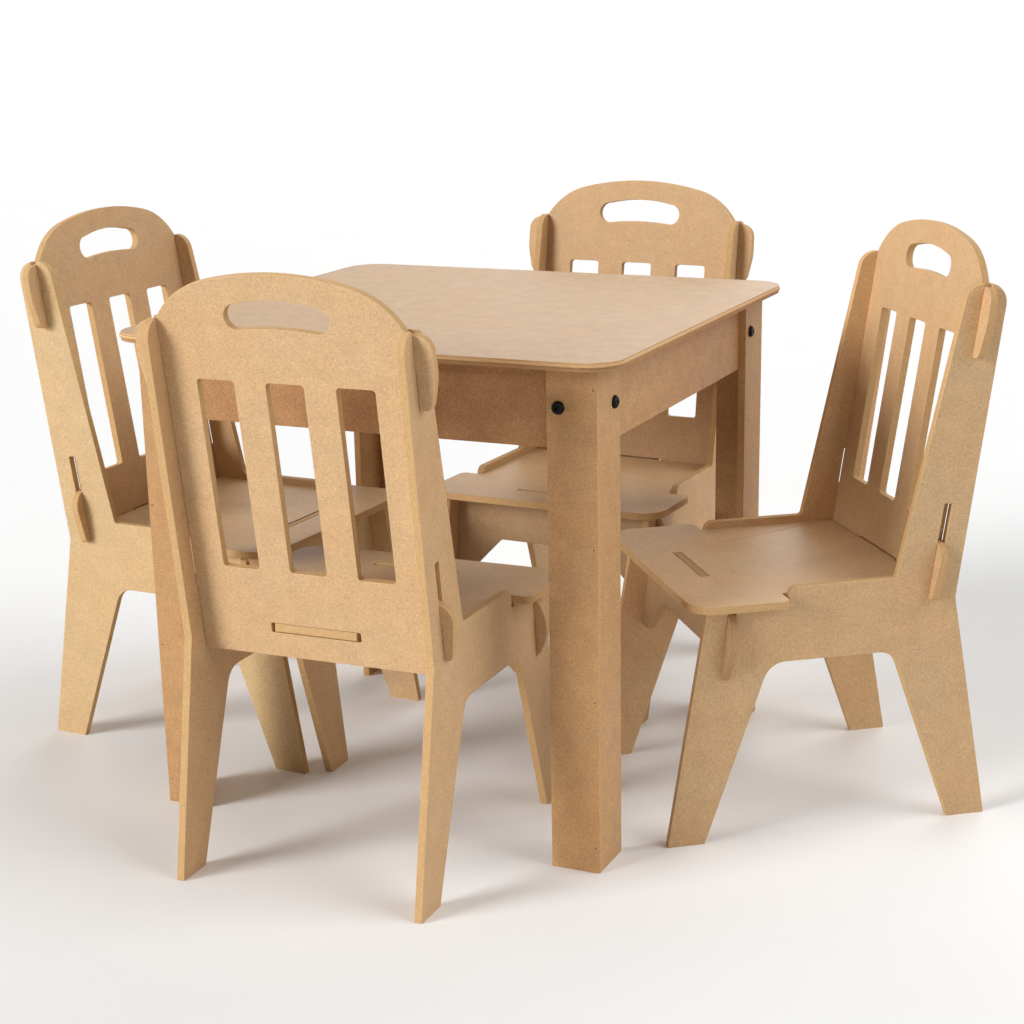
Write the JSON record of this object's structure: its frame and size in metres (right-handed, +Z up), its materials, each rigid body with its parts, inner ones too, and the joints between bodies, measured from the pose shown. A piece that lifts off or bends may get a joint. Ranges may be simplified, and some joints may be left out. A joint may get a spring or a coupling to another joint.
{
  "type": "children's table and chairs",
  "caption": "Square child's table with L-section board legs and slot-together chairs, one at each side, all cut from raw fibreboard.",
  "frame": {"origin": "centre of the whole set's footprint, on the floor", "axes": "+Z up; +X and +Y along the table top's edges, with one chair on each of the four sides"},
  "size_m": [1.1736, 1.0084, 0.6635],
  "materials": {
    "board": "raw medium-density fibreboard, sanded faces and darker cut edges",
    "batten": "raw softwood",
    "bolt_black": "black oxide, semi-gloss",
    "steel": "bright zinc"
  },
  "bodies": {
    "table": {"apron_back": "board", "apron_front": "board", "apron_left": "board", "apron_right": "board", "bolt_nuts": "steel", "corner_block_back_left": "batten", "corner_block_back_right": "batten", "corner_block_front_left": "batten", "corner_block_front_right": "batten", "leg_back_left_facing_board": "board", "leg_back_left_side_board": "board", "leg_back_right_facing_board": "board", "leg_back_right_side_board": "board", "leg_bolts": "bolt_black", "leg_brads": "steel", "leg_front_left_facing_board": "board", "leg_front_left_side_board": "board", "leg_front_right_facing_board": "board", "leg_front_right_side_board": "board", "table_top": "board", "top_screws": "steel"},
    "chair_front": {"chair_front_backrest": "board", "chair_front_front_rail": "board", "chair_front_seat": "board", "chair_front_side_panel_left": "board", "chair_front_side_panel_right": "board"},
    "chair_left": {"chair_left_backrest": "board", "chair_left_front_rail": "board", "chair_left_seat": "board", "chair_left_side_panel_left": "board", "chair_left_side_panel_right": "board"},
    "chair_back": {"chair_back_backrest": "board", "chair_back_front_rail": "board", "chair_back_seat": "board", "chair_back_side_panel_left": "board", "chair_back_side_panel_right": "board"},
    "chair_right": {"chair_right_backrest": "board", "chair_right_front_rail": "board", "chair_right_seat": "board", "chair_right_side_panel_left": "board", "chair_right_side_panel_right": "board"}
  },
  "joints": [
    {"name": "chair_front_pull_out", "type": "slide", "parent": "table", "child": "chair_front", "axis": [0.014, -0.9999, 0], "range_m": [0, 0.3]},
    {"name": "chair_left_pull_out", "type": "slide", "parent": "table", "child": "chair_left", "axis": [-0.9993, 0.0366, 0], "range_m": [0, 0.3]},
    {"name": "chair_back_pull_out", "type": "slide", "parent": "table", "child": "chair_back", "axis": [0.0489, 0.9988, 0], "range_m": [0, 0.3]},
    {"name": "chair_right_pull_out", "type": "slide", "parent": "table", "child": "chair_right", "axis": [0.7923, 0.6101, 0], "range_m": [0, 0.3]}
  ]
}
